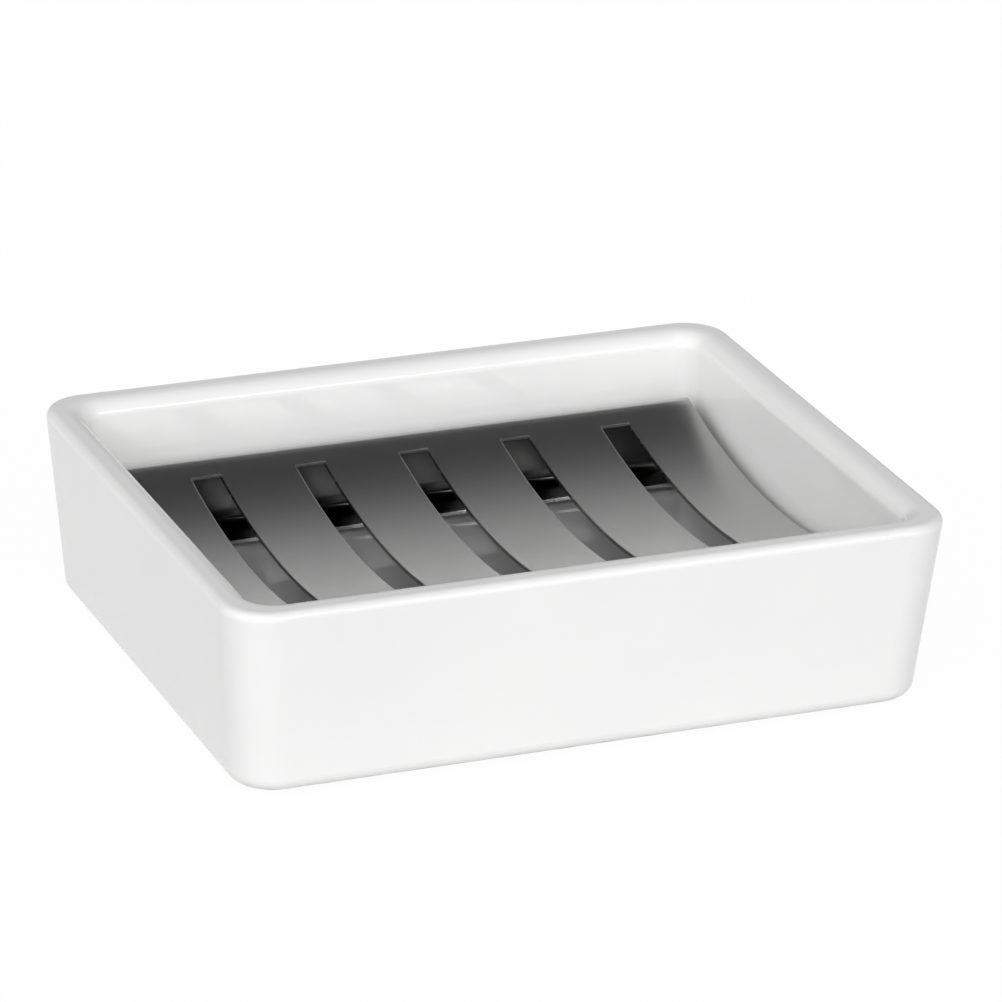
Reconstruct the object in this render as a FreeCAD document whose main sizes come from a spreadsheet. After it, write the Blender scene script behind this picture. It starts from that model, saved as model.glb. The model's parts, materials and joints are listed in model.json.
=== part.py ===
import FreeCAD, Part
import math
import os
import Sketcher
from FreeCAD import Vector

# A soap dish: a white ceramic dish with leaning walls, and a loose tray of bent steel sheet that stands
# on the floor of its well. Soft bumpers lie under the dish and under the tray's two folded feet.
# Millimetres. The origin is on the resting plane, under the dish's centre. X runs along the dish's
# length, Y towards its back and Z up.

doc = FreeCAD.newDocument("soap_dish")

# Driving dimensions. The dish's length, width and height go to the sharp edge that its walls and its
# top would have without the rounded rim.
DRIVING = {
    "dish_length": 130.0,
    "dish_width": 104.0,
    "dish_height": 33.5,
    "wall_draft": 5.0,
    "wall_thickness": 6.0,
    "outer_corner_radius": 8.0,
    "well_corner_radius": 4.0,
    "rim_outer_radius": 1.4,
    "rim_inner_radius": 3.2,
    "base_edge_radius": 2.5,
    "floor_thickness": 5.5,
    "floor_fillet": 3.0,
    "base_hollow_depth": 2.5,
    "base_hollow_corner": 6.0,
    "base_hollow_land": 1.5,
    "base_bumper_diameter": 8.0,
    "base_bumper_thickness": 1.5,
    "base_bumper_recess": 0.7,
    "base_bumper_inset": 8.5,
    "base_bumper_clearance": 0.1,
    "sheet_thickness": 0.8,
    "bend_radius": 1.5,
    "tray_height": 14.5,
    "tray_sag": 6.2,
    "tray_end_clearance": 1.3,
    "tray_side_clearance": 2.1,
    "foot_depth": 8.2,
    "slot_width": 5.5,
    "slot_pitch": 19.5,
    "slot_end_margin": 10.0,
    "slot_side_margin": 7.0,
    "tray_bumper_diameter": 5.5,
    "tray_bumper_thickness": 0.8,
    "tray_bumper_setback": 17.5,
}

# The most of the rim's flat top that each of its two roundings may take, and the most of the well's
# corner radius that the fillet round its floor may take.
RIM_OUTER_SHARE = 0.48
RIM_INNER_SHARE = 0.49
FLOOR_FILLET_SHARE = 0.9

# Sizes that follow from the driving ones. Levels are heights above the resting plane.
DERIVED = {
    "base_level": "Dims.base_bumper_thickness - Dims.base_bumper_recess",
    "hollow_level": "base_level + Dims.base_hollow_depth",
    "floor_level": "hollow_level + Dims.floor_thickness",
    "rim_level": "base_level + Dims.dish_height",
    "draft_slope": "tan(Dims.wall_draft * 1deg)",
    "base_length": "Dims.dish_length - 2 * Dims.dish_height * draft_slope",
    "base_width": "Dims.dish_width - 2 * Dims.dish_height * draft_slope",
    "mouth_length": "Dims.dish_length - 2 * Dims.wall_thickness",
    "mouth_width": "Dims.dish_width - 2 * Dims.wall_thickness",
    "well_depth": "rim_level - floor_level",
    "floor_length": "mouth_length - 2 * well_depth * draft_slope",
    "floor_width": "mouth_width - 2 * well_depth * draft_slope",
    "rim_outer_room": f"{RIM_OUTER_SHARE} * Dims.wall_thickness / tan(45deg + Dims.wall_draft * 0.5deg)",
    "rim_inner_room": f"{RIM_INNER_SHARE} * Dims.wall_thickness / tan(45deg - Dims.wall_draft * 0.5deg)",
    "floor_fillet_room": f"{FLOOR_FILLET_SHARE} * Dims.well_corner_radius",
    "base_bumper_x": "base_length / 2 - Dims.base_bumper_inset",
    "base_bumper_y": "base_width / 2 - Dims.base_bumper_inset",
    "recess_radius": "Dims.base_bumper_diameter / 2 + Dims.base_bumper_clearance",
    "hollow_length": "2 * (base_bumper_x - recess_radius - Dims.base_hollow_land)",
    "hollow_width": "2 * (base_bumper_y - recess_radius - Dims.base_hollow_land)",
    "foot_level": "floor_level + Dims.tray_bumper_thickness",
    "tray_length": "floor_length - 2 * Dims.tray_end_clearance",
    "tray_width": "floor_width - 2 * Dims.tray_side_clearance",
    "outer_bend_radius": "Dims.bend_radius + Dims.sheet_thickness",
    "bend_reach": "tray_width / 2 - outer_bend_radius",
    "foot_reach": "tray_width / 2 - Dims.foot_depth",
    "lower_bend_level": "foot_level + outer_bend_radius",
    "upper_bend_level": "foot_level + Dims.tray_height - outer_bend_radius",
    "middle_level": "foot_level + Dims.tray_height - Dims.tray_sag",
    "slot_length": "tray_width - 2 * Dims.slot_side_margin",
    "slot_room": "tray_length - 2 * Dims.slot_end_margin - Dims.slot_width",
    "slot_count": "floor(slot_room / Dims.slot_pitch) + 1",
    "slot_row": "(slot_count - 1) * Dims.slot_pitch",
    "tray_bumper_x": "tray_length / 2 - Dims.tray_bumper_setback",
    "tray_bumper_y": "(foot_reach + bend_reach) / 2",
}

# Heights closer than this count as the same.
NEAR = 1e-4

# How a sketch numbers the points of a line or an arc, its own origin and its upright axis.
START, END, CENTRE = range(1, 4)
ORIGIN, UP_AXIS = range(-1, -3, -1)


def fill_sheet(name, cells, prefix):
    """A spreadsheet with one named cell to a line."""
    sheet = doc.addObject("Spreadsheet::Sheet", name)
    for row, (alias, content) in enumerate(cells.items(), start=1):
        sheet.set(f"A{row}", alias)
        sheet.set(f"B{row}", f"{prefix}{content}")
        sheet.setAlias(f"B{row}", alias)
        doc.recompute()


fill_sheet("Dims", DRIVING, "")
fill_sheet("Derived", DERIVED, "=")


def size(reference):
    """The present value of a size, named as Sheet.alias."""
    sheet, alias = reference.split(".")
    return float(getattr(doc.getObject(sheet), alias))


def new_body(label):
    """An empty sub-part with its node's name."""
    body = doc.addObject("PartDesign::Body", label)
    body.Label = label
    return body


def origin_feature(body, role):
    """One of a body's own origin planes or axes."""
    return next(item for item in body.Origin.OriginFeatures if item.Role == role)


def new_sketch(body, name, role, **offsets):
    """A sketch on one of the body's origin planes, moved by offsets that are bound to the sheets."""
    sketch = body.newObject("Sketcher::SketchObject", name)
    sketch.AttachmentSupport = [(origin_feature(body, role), "")]
    sketch.MapMode = "FlatFace"
    for axis, formula in offsets.items():
        sketch.setExpression(f"AttachmentOffset.Base.{axis}", formula)
    return sketch


def bind(sketch, name, constraint, formula):
    """A dimension of a sketch, named and bound to the sheets."""
    index = sketch.addConstraint(constraint)
    sketch.renameConstraint(index, name)
    sketch.setExpression(f"Constraints.{name}", formula)


def draw_rectangle(sketch, length, width):
    """A rectangle about the sketch's origin."""
    x = size(length) / 2
    y = size(width) / 2
    corners = [Vector(-x, -y, 0), Vector(x, -y, 0), Vector(x, y, 0), Vector(-x, y, 0)]
    for start, end in zip(corners, corners[1:] + corners[:1]):
        sketch.addGeometry(Part.LineSegment(start, end))
    for side in range(4):
        direction = "Vertical" if side % 2 else "Horizontal"
        sketch.addConstraint(Sketcher.Constraint(direction, side))
        sketch.addConstraint(Sketcher.Constraint("Coincident", side, END, (side + 1) % 4, START))
    front, right = range(2)
    sketch.addConstraint(Sketcher.Constraint("Symmetric", front, START, right, END, ORIGIN, START))
    bind(sketch, "length", Sketcher.Constraint("DistanceX", front, START, front, END, 2 * x), length)
    bind(sketch, "width", Sketcher.Constraint("DistanceY", right, START, right, END, 2 * y), width)


def cut_pocket(body, name, sketch, upwards=False, **formulas):
    """A pocket cut down or up from its sketch: to a Length, or through all where none is given."""
    before = body.Tip.Shape.Volume
    pocket = body.newObject("PartDesign::Pocket", name)
    pocket.Profile = sketch
    pocket.Reversed = upwards
    if "Length" not in formulas:
        pocket.Type = "ThroughAll"
    for name_of_size, formula in formulas.items():
        pocket.setExpression(name_of_size, formula)
    doc.recompute()
    if pocket.Shape.Volume >= before:
        raise RuntimeError(f"{name} cuts nothing")
    return pocket


def repeat(body, name, feature, **formulas):
    """A row, or a grid, of copies of a feature along X and Y."""
    pattern = body.newObject("PartDesign::LinearPattern", name)
    pattern.Originals = [feature]
    pattern.Direction = (origin_feature(body, "X_Axis"), [""])
    pattern.Direction2 = (origin_feature(body, "Y_Axis"), [""])
    for name_of_size, formula in formulas.items():
        pattern.setExpression(name_of_size, formula)
    body.Tip = pattern
    doc.recompute()


def flat_face(body, level):
    """The face of a body that lies flat at a level."""
    for face in body.Tip.Shape.Faces:
        if all(abs(vertex.Z - level) < NEAR for vertex in face.Vertexes):
            return face
    raise RuntimeError(f"{body.Label} has no face at {level}")


def rising_edges(body, low, high):
    """Those edges of a body that run from one level to another."""
    found = []
    for edge in body.Tip.Shape.Edges:
        heights = sorted(vertex.Z for vertex in edge.Vertexes)
        if abs(heights[0] - low) < NEAR and abs(heights[-1] - high) < NEAR:
            found.append(edge)
    return found


def round_edges(body, name, wanted, radius):
    """A fillet on some edges of a body."""
    base = body.Tip
    numbered = enumerate(base.Shape.Edges, start=1)
    names = [f"Edge{number}" for number, edge in numbered if any(edge.isSame(one) for one in wanted)]
    rounded = body.newObject("PartDesign::Fillet", name)
    rounded.Base = (base, names)
    rounded.setExpression("Radius", radius)
    doc.recompute()


# The dish: one piece of glazed ceramic, made in a mould. Its walls lean outwards, so that it lifts out.
dish = new_body("dish")
base_level = size("Derived.base_level")
hollow_level = size("Derived.hollow_level")
floor_level = size("Derived.floor_level")
rim_level = size("Derived.rim_level")

base_outline = new_sketch(dish, "base_outline", "XY_Plane", z="Derived.base_level")
draw_rectangle(base_outline, "Derived.base_length", "Derived.base_width")
block = dish.newObject("PartDesign::Pad", "block")
block.Profile = base_outline
block.setExpression("Length", "Dims.dish_height")
block.setExpression("TaperAngle", "Dims.wall_draft")
doc.recompute()
round_edges(dish, "outer_corners", rising_edges(dish, base_level, rim_level), "Dims.outer_corner_radius")
round_edges(dish, "base_edge", flat_face(dish, base_level).Edges, "Dims.base_edge_radius")

mouth_outline = new_sketch(dish, "mouth_outline", "XY_Plane", z="Derived.rim_level")
draw_rectangle(mouth_outline, "Derived.mouth_length", "Derived.mouth_width")
cut_pocket(dish, "well", mouth_outline, Length="Derived.well_depth", TaperAngle="-Dims.wall_draft")
round_edges(dish, "well_corners", rising_edges(dish, floor_level, rim_level), "Dims.well_corner_radius")
floor_edges = flat_face(dish, floor_level).Edges
round_edges(dish, "floor_edge", floor_edges, "min(Dims.floor_fillet; Derived.floor_fillet_room)")
rim_edges = flat_face(dish, rim_level).OuterWire.Edges
round_edges(dish, "rim_outside", rim_edges, "min(Dims.rim_outer_radius; Derived.rim_outer_room)")
rim = flat_face(dish, rim_level)
mouth_edges = [edge for wire in rim.Wires if not wire.isSame(rim.OuterWire) for edge in wire.Edges]
round_edges(dish, "rim_inside", mouth_edges, "min(Dims.rim_inner_radius; Derived.rim_inner_room)")

# Its underside is hollowed, so that it stands on a ring, and has a shallow recess for each bumper.
hollow_outline = new_sketch(dish, "hollow_outline", "XY_Plane", z="Derived.base_level")
draw_rectangle(hollow_outline, "Derived.hollow_length", "Derived.hollow_width")
cut_pocket(dish, "hollow", hollow_outline, upwards=True, Length="Dims.base_hollow_depth")
round_edges(dish, "hollow_corners", rising_edges(dish, base_level, hollow_level), "Dims.base_hollow_corner")
recess_outline = new_sketch(
    dish,
    "recess_outline",
    "XY_Plane",
    x="-Derived.base_bumper_x",
    y="-Derived.base_bumper_y",
    z="Derived.base_level",
)
recess_outline.addGeometry(Part.Circle(Vector(0, 0, 0), Vector(0, 0, 1), size("Derived.recess_radius")))
recess_outline.addConstraint(Sketcher.Constraint("Coincident", 0, CENTRE, ORIGIN, START))
recess_circle = Sketcher.Constraint("Radius", 0, size("Derived.recess_radius"))
bind(recess_outline, "radius", recess_circle, "Derived.recess_radius")
recess = cut_pocket(dish, "recess", recess_outline, upwards=True, Length="Dims.base_bumper_recess")
repeat(
    dish,
    "recesses",
    recess,
    Length="2 * Derived.base_bumper_x",
    Occurrences="2",
    Length2="2 * Derived.base_bumper_y",
    Occurrences2="2",
)

# The soap tray: one piece of steel sheet, slotted flat and then bent. Half of its section is drawn, from
# the middle to the back, and mirrored. Its top sags as an arc, and runs into a bend, an upright skirt,
# a second bend and a flat foot that is folded inwards. The arc is drawn in two stretches that meet at the
# slots' ends, and faces aren't merged, so that each strip between two slots is a plain face of its own.
soap_tray = new_body("soap_tray")
thickness = size("Dims.sheet_thickness")
inner_radius = size("Dims.bend_radius")
outer_radius = size("Derived.outer_bend_radius")
bend_reach = size("Derived.bend_reach")
foot_reach = size("Derived.foot_reach")
foot_level = size("Derived.foot_level")
low_bend = Vector(bend_reach, size("Derived.lower_bend_level"), 0)
top_bend = Vector(bend_reach, size("Derived.upper_bend_level"), 0)
middle_level = size("Derived.middle_level")
bend_rise = top_bend.y - middle_level
sag_radius = (bend_reach**2 + bend_rise**2 - outer_radius**2) / (2 * (bend_rise + outer_radius))
sag_centre = Vector(0, middle_level + sag_radius, 0)
bend_start = math.atan2(top_bend.y - sag_centre.y, bend_reach)
slot_end = size("Derived.slot_length") / 2
slot_end_above = -math.acos(slot_end / sag_radius)
slot_end_below = -math.acos(slot_end / (sag_radius + thickness))
quarter = math.pi / 2


def arc(centre, radius, start, end):
    """An arc of the section, anticlockwise between two angles."""
    return Part.ArcOfCircle(Part.Circle(centre, Vector(0, 0, 1), radius), start, end)


def line(start_y, start_z, end_y, end_z):
    """A straight stretch of the section."""
    return Part.LineSegment(Vector(start_y, start_z, 0), Vector(end_y, end_z, 0))


section = new_sketch(soap_tray, "section", "YZ_Plane")
TOP, TOP_BAND, UPPER_OUT, SKIRT_OUT, LOWER_OUT, FOOT_UNDER, FOOT_EDGE = range(7)
FOOT_TOP, LOWER_IN, SKIRT_IN, UPPER_IN, UNDER_BAND, UNDERSIDE, MIDDLE = range(7, 14)
for stretch in (
    arc(sag_centre, sag_radius, -quarter, slot_end_above),
    arc(sag_centre, sag_radius, slot_end_above, bend_start),
    arc(top_bend, outer_radius, 0, bend_start + math.pi),
    line(bend_reach + outer_radius, top_bend.y, bend_reach + outer_radius, low_bend.y),
    arc(low_bend, outer_radius, -quarter, 0),
    line(bend_reach, foot_level, foot_reach, foot_level),
    line(foot_reach, foot_level, foot_reach, foot_level + thickness),
    line(foot_reach, foot_level + thickness, bend_reach, foot_level + thickness),
    arc(low_bend, inner_radius, -quarter, 0),
    line(bend_reach + inner_radius, low_bend.y, bend_reach + inner_radius, top_bend.y),
    arc(top_bend, inner_radius, 0, bend_start + math.pi),
    arc(sag_centre, sag_radius + thickness, slot_end_below, bend_start),
    arc(sag_centre, sag_radius + thickness, -quarter, slot_end_below),
    line(0, middle_level, 0, middle_level - thickness),
):
    section.addGeometry(stretch)

for rule in (
    ("Coincident", TOP, END, TOP_BAND, START),
    ("Tangent", TOP_BAND, END, UPPER_OUT, END),
    ("Tangent", UPPER_OUT, START, SKIRT_OUT, START),
    ("Tangent", SKIRT_OUT, END, LOWER_OUT, END),
    ("Tangent", LOWER_OUT, START, FOOT_UNDER, START),
    ("Coincident", FOOT_UNDER, END, FOOT_EDGE, START),
    ("Coincident", FOOT_EDGE, END, FOOT_TOP, START),
    ("Tangent", FOOT_TOP, END, LOWER_IN, START),
    ("Tangent", LOWER_IN, END, SKIRT_IN, START),
    ("Tangent", SKIRT_IN, END, UPPER_IN, START),
    ("Tangent", UPPER_IN, END, UNDER_BAND, END),
    ("Coincident", UNDER_BAND, START, UNDERSIDE, END),
    ("Coincident", UNDERSIDE, START, MIDDLE, END),
    ("Coincident", MIDDLE, START, TOP, START),
    ("Coincident", TOP, CENTRE, TOP_BAND, CENTRE),
    ("Coincident", TOP, CENTRE, UNDER_BAND, CENTRE),
    ("Coincident", TOP, CENTRE, UNDERSIDE, CENTRE),
    ("Coincident", UPPER_OUT, CENTRE, UPPER_IN, CENTRE),
    ("Coincident", LOWER_OUT, CENTRE, LOWER_IN, CENTRE),
    ("PointOnObject", TOP, CENTRE, UP_AXIS),
    ("PointOnObject", TOP, START, UP_AXIS),
    ("Vertical", MIDDLE),
    ("Vertical", SKIRT_OUT),
    ("Vertical", FOOT_EDGE),
    ("Horizontal", FOOT_UNDER),
    ("Horizontal", FOOT_TOP),
    ("Equal", UPPER_OUT, LOWER_OUT),
    ("Equal", UPPER_IN, LOWER_IN),
):
    section.addConstraint(Sketcher.Constraint(*rule))
for name, rule, formula in (
    ("bend", ("Radius", LOWER_IN, inner_radius), "Dims.bend_radius"),
    ("sheet", ("DistanceY", FOOT_EDGE, START, FOOT_EDGE, END, thickness), "Dims.sheet_thickness"),
    ("bend_reach", ("DistanceX", ORIGIN, START, UPPER_OUT, CENTRE, bend_reach), "Derived.bend_reach"),
    ("foot_reach", ("DistanceX", ORIGIN, START, FOOT_EDGE, START, foot_reach), "Derived.foot_reach"),
    ("foot", ("DistanceY", ORIGIN, START, FOOT_EDGE, START, foot_level), "Derived.foot_level"),
    ("top_bend", ("DistanceY", ORIGIN, START, UPPER_OUT, CENTRE, top_bend.y), "Derived.upper_bend_level"),
    ("middle", ("DistanceY", ORIGIN, START, TOP, START, middle_level), "Derived.middle_level"),
    ("slot_end_above", ("DistanceX", ORIGIN, START, TOP, END, slot_end), "Derived.slot_length / 2"),
    ("slot_end_below", ("DistanceX", ORIGIN, START, UNDERSIDE, END, slot_end), "Derived.slot_length / 2"),
):
    bind(section, name, Sketcher.Constraint(*rule), formula)

sheet_half = soap_tray.newObject("PartDesign::Pad", "sheet_half")
sheet_half.Profile = section
sheet_half.SideType = "Symmetric"
sheet_half.setExpression("Length", "Derived.tray_length")
doc.recompute()
sheet = soap_tray.newObject("PartDesign::Mirrored", "sheet")
sheet.Originals = [sheet_half]
sheet.MirrorPlane = (origin_feature(soap_tray, "XZ_Plane"), [""])
soap_tray.Tip = sheet
doc.recompute()

# The slots are cut upwards from over the lower bends, so that the feet stay whole.
slot_outline = new_sketch(
    soap_tray, "slot_outline", "XY_Plane", x="-Derived.slot_row / 2", z="Derived.lower_bend_level"
)
draw_rectangle(slot_outline, "Dims.slot_width", "Derived.slot_length")
slot = cut_pocket(soap_tray, "slot", slot_outline, upwards=True)
repeat(soap_tray, "slots", slot, Length="Derived.slot_row", Occurrences="Derived.slot_count")
for feature in soap_tray.Group:
    if "Refine" in feature.PropertiesList:
        feature.Refine = False
doc.recompute()


def add_bumpers(kind, diameter, height, reach_x, reach_y, level):
    """Four round bumpers, one near each corner, bound to the sheets."""
    bumpers = []
    for side_y, end_y in ((-1, "front"), (1, "back")):
        for side_x, end_x in ((-1, "left"), (1, "right")):
            bumper = doc.addObject("Part::Cylinder", f"{kind}_{end_y}_{end_x}")
            bumper.Label = f"{kind}_{end_y}_{end_x}"
            bumper.setExpression("Radius", f"{diameter} / 2")
            bumper.setExpression("Height", height)
            bumper.setExpression("Placement.Base.x", f"{side_x} * {reach_x}")
            bumper.setExpression("Placement.Base.y", f"{side_y} * {reach_y}")
            bumper.setExpression("Placement.Base.z", level)
            bumpers.append(bumper)
    doc.recompute()
    return bumpers


# Soft bumpers: four set in the recesses under the dish, which stand proud and carry it, and four stuck
# under the tray's feet, which stand on the floor of the well.
base_bumpers = add_bumpers(
    "base_bumper",
    "Dims.base_bumper_diameter",
    "Dims.base_bumper_thickness",
    "Derived.base_bumper_x",
    "Derived.base_bumper_y",
    "0",
)
tray_bumpers = add_bumpers(
    "tray_bumper",
    "Dims.tray_bumper_diameter",
    "Dims.tray_bumper_thickness",
    "Derived.tray_bumper_x",
    "Derived.tray_bumper_y",
    "Derived.floor_level",
)

# Every object has to be sound, and every piece one solid, before any file is written.
for item in doc.Objects:
    if {"Invalid", "Error"} & set(item.State):
        raise RuntimeError(f"{item.Label} failed: {item.State}")
pieces = [dish, soap_tray, *base_bumpers, *tray_bumpers]
for piece in pieces:
    if piece.Shape.isNull() or not piece.Shape.isValid() or len(piece.Shape.Solids) != 1:
        raise RuntimeError(f"{piece.Label} is not one sound solid")
    box = piece.Shape.optimalBoundingBox(False)
    print(f"{piece.Label}: {box.XLength:.2f} x {box.YLength:.2f} x {box.ZLength:.2f}")

os.makedirs("parts", exist_ok=True)
for piece in pieces:
    piece.Shape.exportStep(f"parts/{piece.Label}.step")
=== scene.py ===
import json
import math

import bmesh
import bpy
from mathutils import Matrix, Vector

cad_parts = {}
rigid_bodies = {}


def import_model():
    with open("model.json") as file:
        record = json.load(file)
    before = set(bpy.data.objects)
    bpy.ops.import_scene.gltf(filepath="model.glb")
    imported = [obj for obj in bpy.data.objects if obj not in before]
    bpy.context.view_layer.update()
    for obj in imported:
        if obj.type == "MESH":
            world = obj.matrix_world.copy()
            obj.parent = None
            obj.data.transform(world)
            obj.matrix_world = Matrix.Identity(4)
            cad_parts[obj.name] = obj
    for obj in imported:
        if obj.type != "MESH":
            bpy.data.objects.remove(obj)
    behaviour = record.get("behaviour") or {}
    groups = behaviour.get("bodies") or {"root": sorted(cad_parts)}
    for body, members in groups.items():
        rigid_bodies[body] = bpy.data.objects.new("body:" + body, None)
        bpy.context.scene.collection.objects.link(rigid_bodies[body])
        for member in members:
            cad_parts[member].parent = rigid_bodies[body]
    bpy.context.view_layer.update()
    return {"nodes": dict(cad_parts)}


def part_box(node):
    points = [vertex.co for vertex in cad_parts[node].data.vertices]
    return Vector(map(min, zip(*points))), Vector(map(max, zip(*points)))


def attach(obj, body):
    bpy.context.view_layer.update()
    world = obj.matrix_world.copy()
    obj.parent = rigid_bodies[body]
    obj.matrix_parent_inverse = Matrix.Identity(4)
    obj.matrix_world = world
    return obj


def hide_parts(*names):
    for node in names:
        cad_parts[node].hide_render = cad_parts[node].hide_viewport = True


for leftover in list(bpy.data.objects):
    bpy.data.objects.remove(leftover)
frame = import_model()

# The dish: one piece of white ceramic, cast in a mould, dipped in clear gloss glaze and fired. The glaze
# melts into faint ripples. It is wiped off the ring that the dish stands on, which stays bare clay.
MM = 0.001
GLAZE_WHITE = (0.925, 0.925, 0.92)
GLAZE_SHADE = (0.9, 0.902, 0.898)
GLAZE_ROUGHNESS = (0.025, 0.05)
GLAZE_IOR = 1.52
TINT_PATCHES = 35.0
GLOSS_PATCHES = 90.0
RIPPLE_PATCHES = 70.0
PEEL_PATCHES = 900.0
WANDER_PATCHES = 250.0
NOISE_DETAIL = 3.0
NOISE_LOW = 0.3
NOISE_HIGH = 0.7
RIPPLE_DEPTH = 0.009 * MM
PEEL_DEPTH = 0.0015 * MM
BARE_CLAY = (0.74, 0.71, 0.66)
BARE_ROUGHNESS = 0.8
WIPED_HEIGHT = 1.5 * MM
WIPED_WANDER = 0.25 * MM
dish_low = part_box("dish")[0]


def add_node(tree, kind, inputs=None, **settings):
    """A node with its settings, and its inputs set to plain values or linked from other nodes' sockets."""
    node = tree.nodes.new(kind)
    for name, value in settings.items():
        setattr(node, name, value)
    for name, value in (inputs or {}).items():
        if isinstance(value, bpy.types.NodeSocket):
            tree.links.new(value, node.inputs[name])
        else:
            node.inputs[name].default_value = value
    return node


def new_material(name):
    """A material with its node tree and its surface shader."""
    material = bpy.data.materials.new(name)
    material.use_nodes = True
    return material, material.node_tree, material.node_tree.nodes["Principled BSDF"]


def add_sockets(tree, direction, **kinds):
    """Named sockets on the outside of a node group. Underscores in the names become spaces."""
    for name, kind in kinds.items():
        tree.interface.new_socket(
            name=name.replace("_", " "),
            in_out=direction,
            socket_type=f"NodeSocket{kind}",
        )


def mix_colours(tree, factor, first, second):
    """A colour between two, by a factor that changes over the surface."""
    node = add_node(tree, "ShaderNodeMix", data_type="RGBA")
    colours = [socket for socket in node.inputs if socket.type == "RGBA"]
    tree.links.new(factor, node.inputs["Factor"])
    for socket, colour in zip(colours, (first, second)):
        if isinstance(colour, bpy.types.NodeSocket):
            tree.links.new(colour, socket)
        else:
            socket.default_value = (*colour, 1.0)
    return next(socket for socket in node.outputs if socket.type == "RGBA")


def build_mottle_group():
    """A shader group that wanders softly between two values over a surface, as no real finish is even."""
    tree = bpy.data.node_groups.new("surface_mottle", "ShaderNodeTree")
    add_sockets(tree, "INPUT", Place="Vector", Patches_per_metre="Float", Low="Float", High="Float")
    add_sockets(tree, "OUTPUT", Value="Float")
    given = tree.nodes.new("NodeGroupInput").outputs
    noise = add_node(
        tree,
        "ShaderNodeTexNoise",
        {"Vector": given["Place"], "Scale": given["Patches per metre"], "Detail": NOISE_DETAIL},
    )
    spread = add_node(
        tree,
        "ShaderNodeMapRange",
        {
            "Value": noise.outputs[0],
            "From Min": NOISE_LOW,
            "From Max": NOISE_HIGH,
            "To Min": given["Low"],
            "To Max": given["High"],
        },
    )
    result = tree.nodes.new("NodeGroupOutput")
    tree.links.new(spread.outputs[0], result.inputs["Value"])
    return tree


mottle_group = build_mottle_group()


def add_mottle(tree, place, patches_per_metre, low, high):
    """The mottle group, placed in a material with its own values. Names with PATCHES count to the metre."""
    node = add_node(tree, "ShaderNodeGroup", node_tree=mottle_group)
    tree.links.new(place, node.inputs["Place"])
    node.inputs["Patches per metre"].default_value = patches_per_metre
    node.inputs["Low"].default_value = low
    node.inputs["High"].default_value = high
    return node.outputs["Value"]


def make_glaze():
    """White gloss glaze all over, with bare fired clay where it was wiped off underneath."""
    material, tree, shader = new_material("white_glaze")
    place = add_node(tree, "ShaderNodeTexCoord").outputs["Object"]
    height = add_node(tree, "ShaderNodeSeparateXYZ", {"Vector": place}).outputs["Z"]
    wander = add_mottle(tree, place, WANDER_PATCHES, -WIPED_WANDER, WIPED_WANDER)
    wavy_height = add_node(tree, "ShaderNodeMath", {0: height, 1: wander}, operation="ADD").outputs[0]
    bare = add_node(
        tree,
        "ShaderNodeMapRange",
        {"Value": wavy_height, "From Min": WIPED_HEIGHT, "From Max": WIPED_HEIGHT - WIPED_WANDER},
    ).outputs[0]
    tint = add_mottle(tree, place, TINT_PATCHES, 0.0, 1.0)
    white = mix_colours(tree, tint, GLAZE_WHITE, GLAZE_SHADE)
    tree.links.new(mix_colours(tree, bare, white, BARE_CLAY), shader.inputs["Base Color"])
    gloss = add_mottle(tree, place, GLOSS_PATCHES, *GLAZE_ROUGHNESS)
    roughness = add_node(
        tree,
        "ShaderNodeMix",
        {"Factor": bare, "A": gloss, "B": BARE_ROUGHNESS},
        data_type="FLOAT",
    )
    tree.links.new(roughness.outputs[0], shader.inputs["Roughness"])
    ripple = add_mottle(tree, place, RIPPLE_PATCHES, 0.0, RIPPLE_DEPTH)
    peel = add_mottle(tree, place, PEEL_PATCHES, 0.0, PEEL_DEPTH)
    depth = add_node(tree, "ShaderNodeMath", {0: ripple, 1: peel}, operation="ADD").outputs[0]
    bump = add_node(tree, "ShaderNodeBump", {"Height": depth, "Distance": 1.0})
    tree.links.new(bump.outputs["Normal"], shader.inputs["Normal"])
    shader.inputs["IOR"].default_value = GLAZE_IOR
    return material


frame["nodes"]["dish"].material_slots[0].material = make_glaze()

# The base bumpers: four soft discs of milky silicone under the dish's corners, each glued into a shallow
# recess and standing a little proud of it. They keep the dish from sliding and from scratching a shelf.
SILICONE_MILK = (0.82, 0.82, 0.8)
SILICONE_SHADE = (0.74, 0.74, 0.72)
SILICONE_ROUGHNESS = (0.42, 0.6)
SILICONE_TINT_PATCHES = 400.0
SILICONE_GRAIN_PATCHES = 1500.0
SILICONE_SCATTER = 0.25
SILICONE_REACH = 1.0 * MM
BUMPER_SIDES = 48
BUMPER_EDGE = 0.35 * MM
BUMPER_EDGE_STEPS = 4
GATE_MARK_SHARE = 0.22
GATE_MARK_FLAT = 0.8
GATE_MARK_DEPTH = 0.12 * MM
BUMPER_WELD = 0.001 * MM
BUMPER_SHARP_DEGREES = 35
CORNERS = ("front_left", "front_right", "back_left", "back_right")


def make_silicone():
    """Moulded silicone: milky, soft in the light and matt."""
    material, tree, shader = new_material("milky_silicone")
    place = add_node(tree, "ShaderNodeTexCoord").outputs["Object"]
    tint = add_mottle(tree, place, SILICONE_TINT_PATCHES, 0.0, 1.0)
    tree.links.new(mix_colours(tree, tint, SILICONE_MILK, SILICONE_SHADE), shader.inputs["Base Color"])
    roughness = add_mottle(tree, place, SILICONE_GRAIN_PATCHES, *SILICONE_ROUGHNESS)
    tree.links.new(roughness, shader.inputs["Roughness"])
    shader.inputs["Subsurface Weight"].default_value = SILICONE_SCATTER
    shader.inputs["Subsurface Radius"].default_value = (SILICONE_REACH, SILICONE_REACH, SILICONE_REACH)
    shader.inputs["Subsurface Scale"].default_value = 1.0
    return material


silicone = make_silicone()


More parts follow.
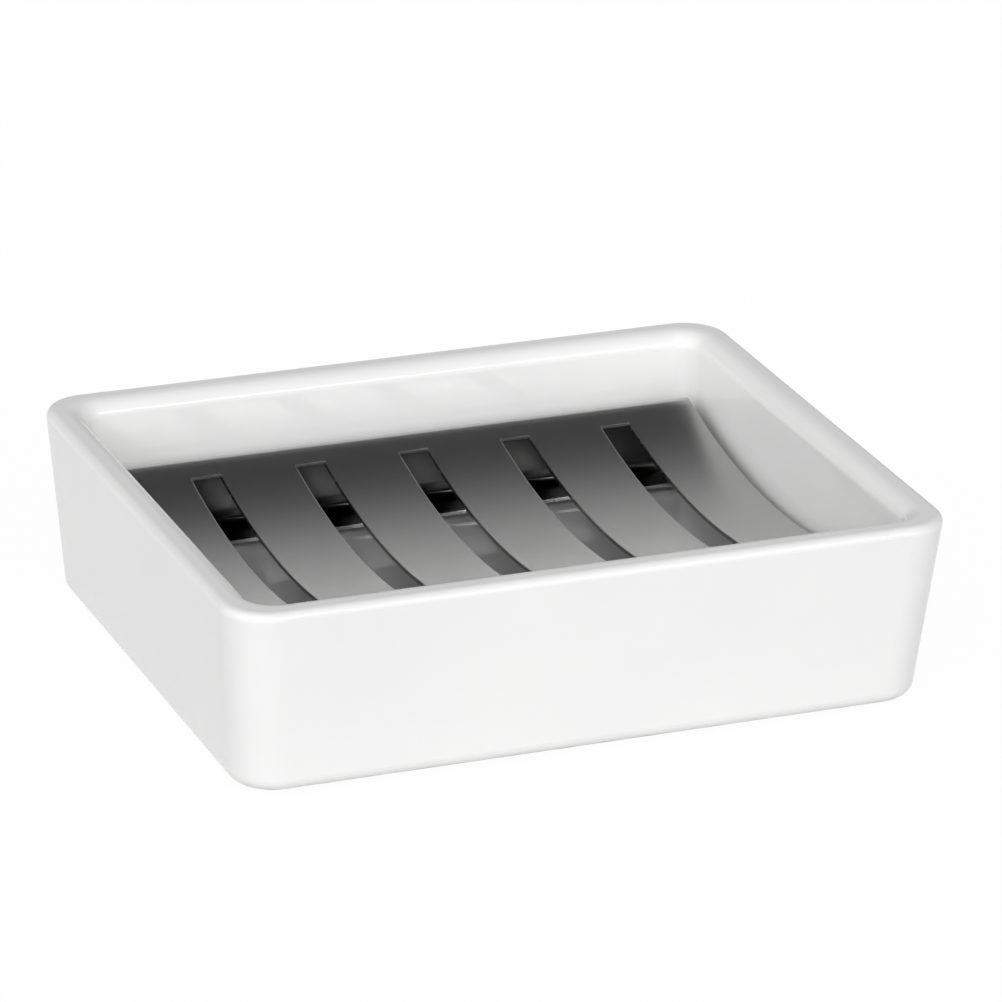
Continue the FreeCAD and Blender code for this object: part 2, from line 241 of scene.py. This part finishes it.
def turn_bumper(name, radius, height):
    """A disc turned about the Z axis, with a rounded lower edge and a gate mark in its underside."""
    quarter = math.pi / 2
    gate_mark = GATE_MARK_SHARE * radius
    profile = [(0.0, GATE_MARK_DEPTH), (gate_mark * GATE_MARK_FLAT, GATE_MARK_DEPTH), (gate_mark, 0.0)]
    for step in range(BUMPER_EDGE_STEPS + 1):
        angle = quarter * step / BUMPER_EDGE_STEPS
        reach = radius - BUMPER_EDGE + BUMPER_EDGE * math.sin(angle)
        profile.append((reach, BUMPER_EDGE - BUMPER_EDGE * math.cos(angle)))
    profile.append((radius, height))
    profile.append((0.0, height))
    shape = bmesh.new()
    points = [shape.verts.new((reach, 0.0, level)) for reach, level in profile]
    edges = [shape.edges.new(pair) for pair in zip(points, points[1:])]
    bmesh.ops.spin(
        shape,
        geom=points + edges,
        cent=(0, 0, 0),
        axis=(0, 0, 1),
        angle=2 * math.pi,
        steps=BUMPER_SIDES,
        use_merge=True,
    )
    bmesh.ops.remove_doubles(shape, verts=shape.verts, dist=BUMPER_WELD)
    bmesh.ops.recalc_face_normals(shape, faces=shape.faces)
    mesh = bpy.data.meshes.new(name)
    shape.to_mesh(mesh)
    shape.free()
    return bpy.data.objects.new(name, mesh)


def build_scatter_tree():
    """Geometry nodes that set one shape down on every point of the object."""
    tree = bpy.data.node_groups.new("shape_on_each_point", "GeometryNodeTree")
    add_sockets(tree, "INPUT", Points="Geometry", Shape="Object", Finish="Material")
    add_sockets(tree, "OUTPUT", Geometry="Geometry")
    given = tree.nodes.new("NodeGroupInput").outputs
    shape = add_node(tree, "GeometryNodeObjectInfo", {"Object": given["Shape"]})
    copies = add_node(
        tree,
        "GeometryNodeInstanceOnPoints",
        {"Points": given["Points"], "Instance": shape.outputs["Geometry"]},
    )
    real = add_node(tree, "GeometryNodeRealizeInstances", {"Geometry": copies.outputs[0]})
    finished = add_node(
        tree,
        "GeometryNodeSetMaterial",
        {"Geometry": real.outputs[0], "Material": given["Finish"]},
    )
    result = tree.nodes.new("NodeGroupOutput")
    tree.links.new(finished.outputs[0], result.inputs["Geometry"])
    return tree


scatter_tree = build_scatter_tree()


def run_tree(name, mesh, tree, **values):
    """An object whose mesh is what a geometry node tree makes of it, as a plain mesh with no modifier."""
    start = bpy.data.objects.new(name, mesh)
    bpy.context.scene.collection.objects.link(start)
    nodes = start.modifiers.new(name, "NODES")
    nodes.node_group = tree
    for socket in tree.interface.items_tree:
        key = socket.name.replace(" ", "_")
        if socket.in_out == "INPUT" and key in values:
            nodes[socket.identifier] = values[key]
    bpy.context.view_layer.update()
    made = start.evaluated_get(bpy.context.evaluated_depsgraph_get())
    plain = bpy.data.meshes.new_from_object(made)
    start.modifiers.remove(nodes)
    start.data = plain
    return start


def smooth_mesh(mesh, degrees):
    """Smooth shading, broken at edges sharper than an angle."""
    mesh.shade_smooth()
    mesh.set_sharp_from_angle(angle=math.radians(degrees))


def place_bumpers(name, body):
    """One piece that stands for the four bumpers of a kind, each where its node is."""
    nodes = [f"{name}_{corner}" for corner in CORNERS]
    low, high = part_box(nodes[0])
    shape = turn_bumper(f"{name}_shape", (high.x - low.x) / 2, high.z - low.z)
    places = bpy.data.meshes.new(f"{name}_places")
    centres = [(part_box(node)[0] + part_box(node)[1]) / 2 for node in nodes]
    places.from_pydata([(centre.x, centre.y, low.z) for centre in centres], [], [])
    piece = run_tree(f"{name}s", places, scatter_tree, Shape=shape, Finish=silicone)
    bpy.data.objects.remove(shape)
    smooth_mesh(piece.data, BUMPER_SHARP_DEGREES)
    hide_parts(*nodes)
    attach(piece, body)


place_bumpers("base_bumper", "dish")

# The soap tray: one piece of stainless sheet, brushed along its length on the outer side, punched with five
# slots while flat and then bent. Its middle sags to hold the soap. Front and back turn down and fold in to
# make flat feet. The inner side and the cut edges aren't brushed. The inner side's near-black colour is
# painted shade, for the dark under the tray.
STEEL_LIGHT = (0.53, 0.53, 0.526)
STEEL_DARK = (0.51, 0.51, 0.506)
STEEL_ROUGHNESS = (0.252, 0.262)
STEEL_ANISOTROPY = 0.4
ACROSS_THE_BRUSHING = 0.25
GRAIN_STRETCH = (0.012, 1.0, 1.0)
GRAIN_PATCHES = 1600.0
GRAIN_DEPTH = 0.0001 * MM
BAND_STRETCH = (0.03, 1.0, 1.0)
BAND_PATCHES = 500.0
BAND_SHARE = 0.35
# Painted shade: the inner side's steel is coloured near black, darker than unbrushed steel, for the shade
# under the tray.
MILL_PAINTED_SHADE_LIGHT = (0.09, 0.09, 0.089)
MILL_PAINTED_SHADE_DARK = (0.07, 0.07, 0.069)
MILL_ROUGHNESS = (0.14, 0.2)
MILL_PATCHES = 150.0
CUT_LIGHT = (0.46, 0.46, 0.456)
CUT_DARK = (0.36, 0.36, 0.357)
CUT_ROUGHNESS = (0.2, 0.28)
CUT_PATCHES = 2500.0
INNER_SIDE_SLOT = 1
CUT_EDGE_SLOT = 2
SHEET_THICKNESS = 0.8 * MM
BEND_RADIUS = 1.5 * MM
TRAY_SAG = 6.2 * MM
FOOT_DEPTH = 8.2 * MM
SLOT_COUNT = 5
SLOT_WIDTH = 5.5 * MM
SLOT_PITCH = 19.5 * MM
SLOT_SIDE_MARGIN = 7.0 * MM
ARRIS = 0.13 * MM
ARRIS_STEPS = 2
ARRIS_DEGREES = 50
SHEET_SHARP_DEGREES = 20
SAG_STEPS = 18
BAND_STEPS = 3
BEND_STEPS = 10
tray_low, tray_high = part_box("soap_tray")


def arc_points(centre, radius, start, end, steps):
    """Points on an arc in the YZ plane, without its first one."""
    points = []
    for step in range(1, steps + 1):
        angle = start + (end - start) * step / steps
        points.append((centre[0] + radius * math.cos(angle), centre[1] + radius * math.sin(angle)))
    return points


def half_section():
    """The sheet's outer face from the middle of the tray to the edge of the back foot, as (y, z) points."""
    outer = BEND_RADIUS + SHEET_THICKNESS
    half_width = (tray_high.y - tray_low.y) / 2
    bend_reach = half_width - outer
    top_bend = (bend_reach, tray_high.z - outer)
    low_bend = (bend_reach, tray_low.z + outer)
    middle = tray_high.z - TRAY_SAG
    rise = top_bend[1] - middle
    sag_radius = (bend_reach**2 + rise**2 - outer**2) / (2 * (rise + outer))
    sag_centre = (0.0, middle + sag_radius)
    bend_start = math.atan2(top_bend[1] - sag_centre[1], bend_reach)
    slot_end = -math.acos((half_width - SLOT_SIDE_MARGIN) / sag_radius)
    quarter = math.pi / 2
    points = [(0.0, middle)]
    points += arc_points(sag_centre, sag_radius, -quarter, slot_end, SAG_STEPS)
    points += arc_points(sag_centre, sag_radius, slot_end, bend_start, BAND_STEPS)
    points += arc_points(top_bend, outer, bend_start + math.pi, 0.0, BEND_STEPS)
    points.append((half_width, low_bend[1]))
    points += arc_points(low_bend, outer, 0.0, -quarter, BEND_STEPS)
    points.append((half_width - FOOT_DEPTH, tray_low.z))
    return points


def make_section_curve():
    """The whole section as one straight-segment curve, from the front foot's edge to the back one's."""
    back = half_section()
    front = [(-y, z) for y, z in reversed(back[1:])]
    curve = bpy.data.curves.new("tray_section", "CURVE")
    curve.dimensions = "3D"
    line = curve.splines.new("POLY")
    line.points.add(len(front) + len(back) - 1)
    for point, (y, z) in zip(line.points, front + back):
        point.co = (0.0, y, z, 1.0)
    return bpy.data.objects.new("tray_section", curve)


def build_sheet_tree():
    """Geometry nodes for a slotted, bent sheet. A flat grid has a column at each slot's edges and a row at
    each point of the section. Faces in the slots are punched out, then every row is bent to its place."""
    tree = bpy.data.node_groups.new("bent_slotted_sheet", "GeometryNodeTree")
    add_sockets(
        tree,
        "INPUT",
        Section="Object",
        Sheet_length="Float",
        Slot_count="Int",
        Slot_width="Float",
        Slot_pitch="Float",
        First_slot_row="Int",
        Last_slot_row="Int",
        Finish="Material",
    )
    add_sockets(tree, "OUTPUT", Geometry="Geometry")
    given = tree.nodes.new("NodeGroupInput").outputs

    def work_out(operation, *values):
        """One sum, on numbers or on other nodes' results."""
        node = add_node(tree, "ShaderNodeMath", dict(enumerate(values)), operation=operation)
        return node.outputs[0]

    def compare(operation, first, second):
        """A yes or no from two numbers."""
        node = add_node(tree, "FunctionNodeCompare", {0: first, 1: second}, operation=operation)
        return node.outputs[0]

    def both(first, second):
        """Yes where both are."""
        return add_node(tree, "FunctionNodeBooleanMath", {0: first, 1: second}, operation="AND").outputs[0]

    section = add_node(tree, "GeometryNodeObjectInfo", {"Object": given["Section"]}).outputs["Geometry"]
    rows = add_node(
        tree, "GeometryNodeAttributeDomainSize", {"Geometry": section}, component="CURVE"
    ).outputs["Point Count"]
    columns = work_out("MULTIPLY_ADD", given["Slot count"], 2.0, 2.0)
    last_column = work_out("SUBTRACT", columns, 1.0)
    last_row = work_out("SUBTRACT", rows, 1.0)
    blank = add_node(
        tree,
        "GeometryNodeMeshGrid",
        {"Size X": last_column, "Size Y": last_row, "Vertices X": columns, "Vertices Y": rows},
    ).outputs["Mesh"]
    flat = add_node(
        tree,
        "ShaderNodeSeparateXYZ",
        {"Vector": add_node(tree, "GeometryNodeInputPosition").outputs[0]},
    ).outputs
    column = work_out("MULTIPLY_ADD", last_column, 0.5, flat["X"])
    row = work_out("MULTIPLY_ADD", last_row, 0.5, flat["Y"])

    between_edges = compare("GREATER_THAN", work_out("FLOORED_MODULO", column, 2.0), 1.0)
    past_start = compare("GREATER_THAN", row, given["First slot row"])
    before_end = compare("LESS_THAN", row, given["Last slot row"])
    punched = add_node(
        tree,
        "GeometryNodeDeleteGeometry",
        {"Geometry": blank, "Selection": both(between_edges, both(past_start, before_end))},
        domain="FACE",
    ).outputs[0]

    edge = work_out("ROUND", work_out("SUBTRACT", column, 1.0))
    slot = work_out("FLOOR", work_out("MULTIPLY", edge, 0.5))
    side = work_out("SUBTRACT", work_out("FLOORED_MODULO", edge, 2.0), 0.5)
    middle_slot = work_out("MULTIPLY_ADD", given["Slot count"], 0.5, -0.5)
    slot_centre = work_out("MULTIPLY", work_out("SUBTRACT", slot, middle_slot), given["Slot pitch"])
    edge_place = work_out("MULTIPLY_ADD", side, given["Slot width"], slot_centre)
    half_length = work_out("MULTIPLY", given["Sheet length"], 0.5)
    left_end = work_out("MULTIPLY", half_length, -1.0)
    along = work_out("MAXIMUM", work_out("MINIMUM", edge_place, half_length), left_end)
    row_number = work_out("ROUND", row)
    bent = add_node(
        tree,
        "GeometryNodeSampleIndex",
        {
            "Geometry": section,
            "Value": add_node(tree, "GeometryNodeInputPosition").outputs[0],
            "Index": row_number,
        },
        data_type="FLOAT_VECTOR",
    ).outputs[0]
    length_so_far = add_node(
        tree,
        "GeometryNodeSampleIndex",
        {
            "Geometry": section,
            "Value": add_node(tree, "GeometryNodeSplineParameter").outputs["Length"],
            "Index": row_number,
        },
    ).outputs[0]
    sheet_place = add_node(tree, "ShaderNodeCombineXYZ", {"X": along, "Y": length_so_far}).outputs[0]
    mapped = add_node(
        tree,
        "GeometryNodeStoreNamedAttribute",
        {"Geometry": punched, "Name": "sheet_uv", "Value": sheet_place},
        data_type="FLOAT2",
        domain="CORNER",
    ).outputs[0]
    bent_parts = add_node(tree, "ShaderNodeSeparateXYZ", {"Vector": bent}).outputs
    place = add_node(
        tree,
        "ShaderNodeCombineXYZ",
        {"X": along, "Y": bent_parts["Y"], "Z": bent_parts["Z"]},
    ).outputs[0]
    sheet = add_node(tree, "GeometryNodeSetPosition", {"Geometry": mapped, "Position": place}).outputs[0]
    real = add_node(tree, "GeometryNodeRealizeInstances", {"Geometry": sheet}).outputs[0]
    finished = add_node(tree, "GeometryNodeSetMaterial", {"Geometry": real, "Material": given["Finish"]})
    result = tree.nodes.new("NodeGroupOutput")
    tree.links.new(finished.outputs[0], result.inputs["Geometry"])
    return tree


def make_steel():
    """Stainless steel, brushed along the sheet: fine scratches that follow it round its bends."""
    material, tree, shader = new_material("brushed_stainless")
    sheet = add_node(tree, "ShaderNodeUVMap", uv_map="sheet_uv").outputs[0]
    fine = add_node(tree, "ShaderNodeMapping", {"Vector": sheet, "Scale": GRAIN_STRETCH}).outputs[0]
    coarse = add_node(tree, "ShaderNodeMapping", {"Vector": sheet, "Scale": BAND_STRETCH}).outputs[0]
    grain = add_mottle(tree, fine, GRAIN_PATCHES, 0.0, 1.0)
    bands = add_mottle(tree, coarse, BAND_PATCHES, 0.0, 1.0)
    tone = add_node(
        tree,
        "ShaderNodeMix",
        {"Factor": BAND_SHARE, "A": grain, "B": bands},
        data_type="FLOAT",
    ).outputs[0]
    tree.links.new(mix_colours(tree, tone, STEEL_DARK, STEEL_LIGHT), shader.inputs["Base Color"])
    low, high = STEEL_ROUGHNESS
    roughness = add_node(tree, "ShaderNodeMapRange", {"Value": tone, "To Min": low, "To Max": high})
    tree.links.new(roughness.outputs[0], shader.inputs["Roughness"])
    scratch = add_node(tree, "ShaderNodeMath", {0: grain, 1: GRAIN_DEPTH}, operation="MULTIPLY").outputs[0]
    bump = add_node(tree, "ShaderNodeBump", {"Height": scratch, "Distance": 1.0})
    tree.links.new(bump.outputs["Normal"], shader.inputs["Normal"])
    lie = add_node(tree, "ShaderNodeTangent", direction_type="UV_MAP", uv_map="sheet_uv")
    tree.links.new(lie.outputs[0], shader.inputs["Tangent"])
    shader.inputs["Metallic"].default_value = 1.0
    shader.inputs["Anisotropic"].default_value = STEEL_ANISOTROPY
    shader.inputs["Anisotropic Rotation"].default_value = ACROSS_THE_BRUSHING
    return material


def make_unbrushed_steel(name, light, dark, roughness, patches_per_metre):
    """Stainless steel that no brush has touched, a little uneven in tone and gloss."""
    material, tree, shader = new_material(name)
    place = add_node(tree, "ShaderNodeTexCoord").outputs["Object"]
    tint = add_mottle(tree, place, patches_per_metre, 0.0, 1.0)
    tree.links.new(mix_colours(tree, tint, dark, light), shader.inputs["Base Color"])
    tree.links.new(add_mottle(tree, place, patches_per_metre, *roughness), shader.inputs["Roughness"])
    shader.inputs["Metallic"].default_value = 1.0
    return material


steel = make_steel()
section_curve = make_section_curve()
half_rows = len(half_section()) - 1
soap_tray = run_tree(
    "brushed_tray",
    bpy.data.meshes.new("brushed_tray"),
    build_sheet_tree(),
    Section=section_curve,
    Sheet_length=tray_high.x - tray_low.x,
    Slot_count=SLOT_COUNT,
    Slot_width=SLOT_WIDTH,
    Slot_pitch=SLOT_PITCH,
    First_slot_row=half_rows - SAG_STEPS,
    Last_slot_row=half_rows + SAG_STEPS,
    Finish=steel,
)
bpy.data.objects.remove(section_curve)


def finish_sheet(piece):
    """The sheet's thickness, with an unbrushed inner side coloured near black as painted shade for the dark
    under the tray, unbrushed cut edges, and the small broken edges that punching and brushing leave."""
    # The inner side's near-black colour is painted shade, for the dark under the tray.
    inner_side_painted_shade = make_unbrushed_steel("mill_finish", MILL_PAINTED_SHADE_LIGHT, MILL_PAINTED_SHADE_DARK, MILL_ROUGHNESS, MILL_PATCHES)
    cut_edge = make_unbrushed_steel("punched_edge", CUT_LIGHT, CUT_DARK, CUT_ROUGHNESS, CUT_PATCHES)
    piece.data.materials.append(inner_side_painted_shade)
    piece.data.materials.append(cut_edge)
    thick = piece.modifiers.new("thickness", "SOLIDIFY")
    thick.material_offset = INNER_SIDE_SLOT
    thick.material_offset_rim = CUT_EDGE_SLOT
    thick.thickness = SHEET_THICKNESS
    thick.offset = -1.0
    thick.use_even_offset = True
    arris = piece.modifiers.new("arris", "BEVEL")
    arris.width = ARRIS
    arris.segments = ARRIS_STEPS
    arris.limit_method = "ANGLE"
    arris.angle_limit = math.radians(ARRIS_DEGREES)
    bpy.context.view_layer.update()
    made = piece.evaluated_get(bpy.context.evaluated_depsgraph_get())
    plain = bpy.data.meshes.new_from_object(made)
    piece.modifiers.clear()
    piece.data = plain
    smooth_mesh(plain, SHEET_SHARP_DEGREES)


finish_sheet(soap_tray)
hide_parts("soap_tray")
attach(soap_tray, "tray")

# The tray's bumpers: four thin silicone discs glued under the folded feet. They stand on the floor of the
# dish's well and keep the steel off the glaze.
place_bumpers("tray_bumper", "tray")

# The room: a wide floor that looks white and throws back part of the light, a long low softbox in front of
# the dish, and walls that are bright low down, most of all at the front left, and dark overhead.
FLOOR_HALF = 6.0
FLOOR_WHITE = (1.0, 1.0, 1.0)
FLOOR_BOUNCE = (0.6, 0.6, 0.6)
FLOOR_GLOW = 0.97
SOFTBOX_FROM = Vector((-0.1, -0.9, 0.41)).normalized()
SOFTBOX_DISTANCE = 2.2
SOFTBOX_LENGTH = 3.2
SOFTBOX_HEIGHT = 0.12
SOFTBOX_WATTS = 13.5
BRIGHT_SIDE = Vector((-0.55, -0.7, 0.28)).normalized()
BRIGHT_CORE = 0.8
ROOM_BRIGHT = 1.02
ROOM_HORIZON = 0.5
ROOM_OVERHEAD = 0.02
DIMS_FROM = 0.44
DARK_FROM = 0.74


def make_floor():
    """A flat floor, white to the camera and to reflections."""
    material, tree, shader = new_material("pale_floor")
    tree.nodes.remove(shader)
    rays = add_node(tree, "ShaderNodeLightPath").outputs
    plainly_seen = add_node(
        tree,
        "ShaderNodeMath",
        {0: rays["Is Camera Ray"], 1: rays["Is Glossy Ray"]},
        operation="MAXIMUM",
    ).outputs[0]
    seen = add_node(
        tree,
        "ShaderNodeMath",
        {0: plainly_seen, 1: rays["Is Transmission Ray"]},
        operation="MAXIMUM",
    ).outputs[0]
    colour = mix_colours(tree, seen, FLOOR_BOUNCE, FLOOR_WHITE)
    lit = add_node(tree, "ShaderNodeBsdfDiffuse", {"Color": colour})
    glow = add_node(tree, "ShaderNodeEmission", {"Color": (*FLOOR_WHITE, 1.0), "Strength": 1.0})
    share = add_node(tree, "ShaderNodeMath", {0: seen, 1: FLOOR_GLOW}, operation="MULTIPLY").outputs[0]
    both = add_node(tree, "ShaderNodeMixShader", {0: share, 1: lit.outputs[0], 2: glow.outputs[0]})
    tree.links.new(both.outputs[0], tree.nodes["Material Output"].inputs["Surface"])
    mesh = bpy.data.meshes.new("floor")
    front = [(-FLOOR_HALF, -FLOOR_HALF, 0), (FLOOR_HALF, -FLOOR_HALF, 0)]
    back = [(FLOOR_HALF, FLOOR_HALF, 0), (-FLOOR_HALF, FLOOR_HALF, 0)]
    mesh.from_pydata(front + back, [], [(0, 1, 2, 3)])
    mesh.materials.append(material)
    floor = bpy.data.objects.new("floor", mesh)
    bpy.context.scene.collection.objects.link(floor)


make_floor()
softbox = bpy.data.lights.new("long_softbox", "AREA")
softbox.shape = "RECTANGLE"
softbox.size = SOFTBOX_LENGTH
softbox.size_y = SOFTBOX_HEIGHT
softbox.energy = SOFTBOX_WATTS
softbox_lamp = bpy.data.objects.new("long_softbox", softbox)
softbox_lamp.location = SOFTBOX_DISTANCE * SOFTBOX_FROM
softbox_lamp.rotation_euler = SOFTBOX_FROM.to_track_quat("Z", "Y").to_euler()
bpy.context.scene.collection.objects.link(softbox_lamp)


def make_room():
    """The walls around the dish, as light by direction: bright low down, most at the front left, and dark
    overhead. DIMS_FROM and DARK_FROM are the heights of a direction of length one."""
    world = bpy.data.worlds.new("room")
    world.use_nodes = True
    tree = world.node_tree
    direction = add_node(tree, "ShaderNodeTexCoord").outputs["Generated"]
    height = add_node(tree, "ShaderNodeSeparateXYZ", {"Vector": direction}).outputs["Z"]
    wall = add_node(
        tree,
        "ShaderNodeMapRange",
        {
            "Value": height,
            "From Min": DIMS_FROM,
            "From Max": DARK_FROM,
            "To Min": ROOM_HORIZON,
            "To Max": ROOM_OVERHEAD,
        },
        interpolation_type="SMOOTHSTEP",
    ).outputs[0]
    facing = add_node(tree, "ShaderNodeVectorMath", {0: direction, 1: BRIGHT_SIDE}, operation="DOT_PRODUCT")
    window = add_node(
        tree,
        "ShaderNodeMapRange",
        {"Value": facing.outputs["Value"], "From Max": BRIGHT_CORE, "To Max": ROOM_BRIGHT},
        interpolation_type="SMOOTHSTEP",
    ).outputs[0]
    level = add_node(tree, "ShaderNodeMath", {0: wall, 1: window}, operation="ADD").outputs[0]
    tree.links.new(level, tree.nodes["Background"].inputs["Strength"])
    tree.nodes["Background"].inputs["Color"].default_value = (1.0, 1.0, 1.0, 1.0)
    bpy.context.scene.world = world


make_room()
bpy.context.scene.view_settings.view_transform = "Standard"

# The camera: a long lens from above the front left, aimed a little over the middle of the dish's base.
# Its place was fitted to the dish's outline in the photo.
VIEW_AZIMUTH = math.radians(22.750)
VIEW_ELEVATION = math.radians(22.307)
VIEW_ROLL = math.radians(1.624)
VIEW_DISTANCE = 1080.81 * MM
AIM_RIGHT = 3.170 * MM
AIM_UP = 23.747 * MM
LENS = 222.98
SENSOR = 36.0

level_back = math.cos(VIEW_ELEVATION)
level_way = Vector((-math.sin(VIEW_AZIMUTH), -math.cos(VIEW_AZIMUTH), 0))
back = level_back * level_way + Vector((0, 0, math.sin(VIEW_ELEVATION)))
level_right = Vector((0, 0, 1)).cross(back).normalized()
level_up = back.cross(level_right)
right = math.cos(VIEW_ROLL) * level_right + math.sin(VIEW_ROLL) * level_up
up = math.cos(VIEW_ROLL) * level_up - math.sin(VIEW_ROLL) * level_right
stand = Vector((0, 0, dish_low.z)) + AIM_RIGHT * right + AIM_UP * up + VIEW_DISTANCE * back
lens = bpy.data.cameras.new("camera")
lens.lens = LENS
lens.sensor_width = SENSOR
camera = bpy.data.objects.new("camera", lens)
camera.matrix_world = Matrix.Translation(stand) @ Matrix((right, up, back)).transposed().to_4x4()
bpy.context.scene.collection.objects.link(camera)
bpy.context.scene.camera = camera
